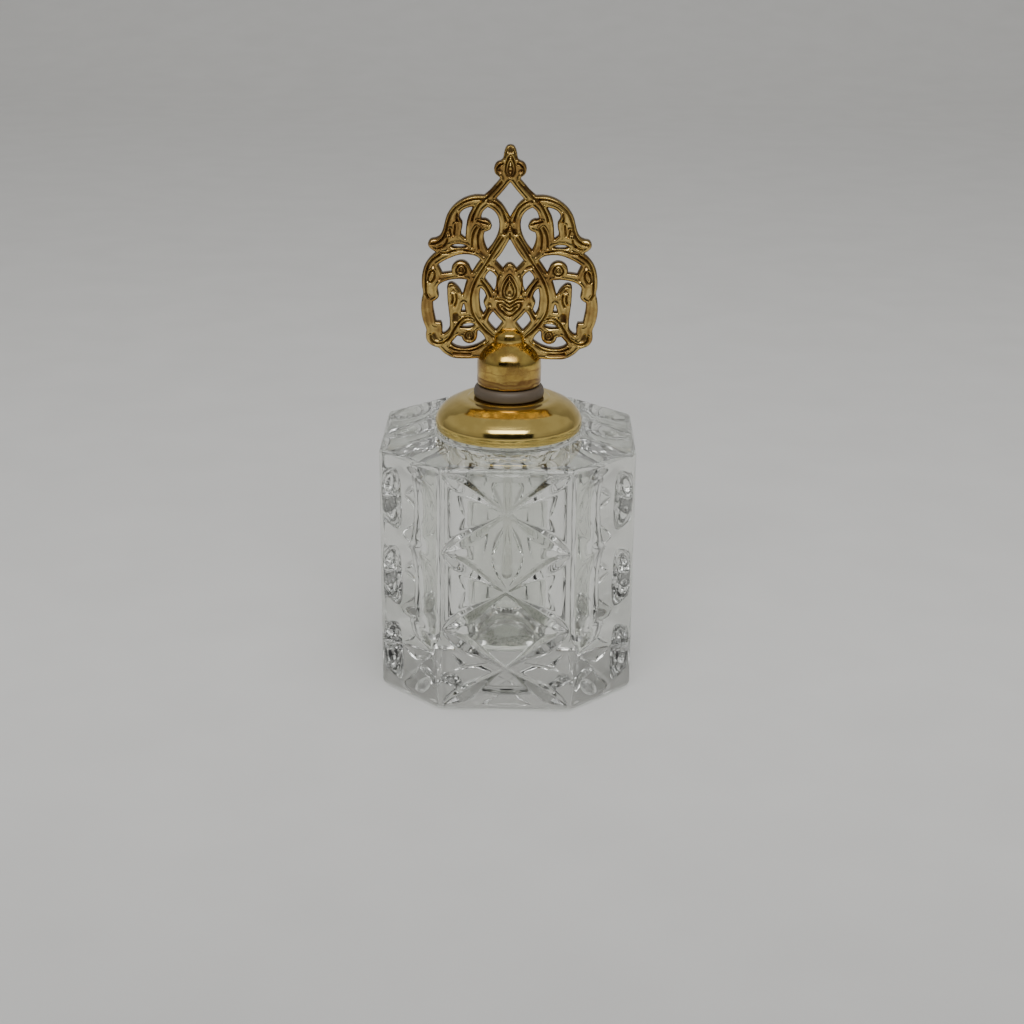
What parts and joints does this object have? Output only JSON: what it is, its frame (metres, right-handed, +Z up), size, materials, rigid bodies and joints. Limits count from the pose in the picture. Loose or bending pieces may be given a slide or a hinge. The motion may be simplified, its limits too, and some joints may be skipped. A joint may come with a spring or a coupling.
{
  "type": "perfume bottle",
  "caption": "Small eight-sided cut-crystal perfume bottle with a gold clip-on collar and a pull-out stopper that carries a dip rod and a pierced gold filigree finial.",
  "frame": {"origin": "centre of the glass base, on the surface the bottle stands on", "axes": "+Z up along the neck's axis, -Y out of the front face, +X to the right seen from the front, along the filigree plate"},
  "size_m": [0.036, 0.036, 0.0769],
  "materials": {
    "crystal_glass": "clear crystal, pressed and cut, polished",
    "collar_gold": "gold anodised, bright",
    "hub_gold": "gold plated casting, bright",
    "filigree_gold": "antiqued gold plated casting, brown in the recesses",
    "frosted_plastic": "translucent, frosted"
  },
  "bodies": {
    "bottle": {"glass_bottle": "crystal_glass", "neck_insert": "frosted_plastic"},
    "collar": {"collar": "collar_gold", "collar_inner_ring": "frosted_plastic"},
    "seal": {"sealing_washer": "frosted_plastic"},
    "stopper": {"stopper_plug": "frosted_plastic", "dip_rod": "frosted_plastic", "finial_hub": "hub_gold", "filigree_plate": "filigree_gold"}
  },
  "joints": [
    {"name": "collar_turn", "type": "hinge", "parent": "bottle", "child": "collar", "pos_m": [0, 0, 0.038], "axis": [0, 0, 1], "continuous": true},
    {"name": "stopper_lift", "type": "slide", "parent": "bottle", "child": "seal", "axis": [0, 0, 1], "range_m": [0, 0.03]},
    {"name": "stopper_turn", "type": "hinge", "parent": "seal", "child": "stopper", "pos_m": [0, 0, 0.043], "axis": [0, 0, 1], "continuous": true}
  ]
}
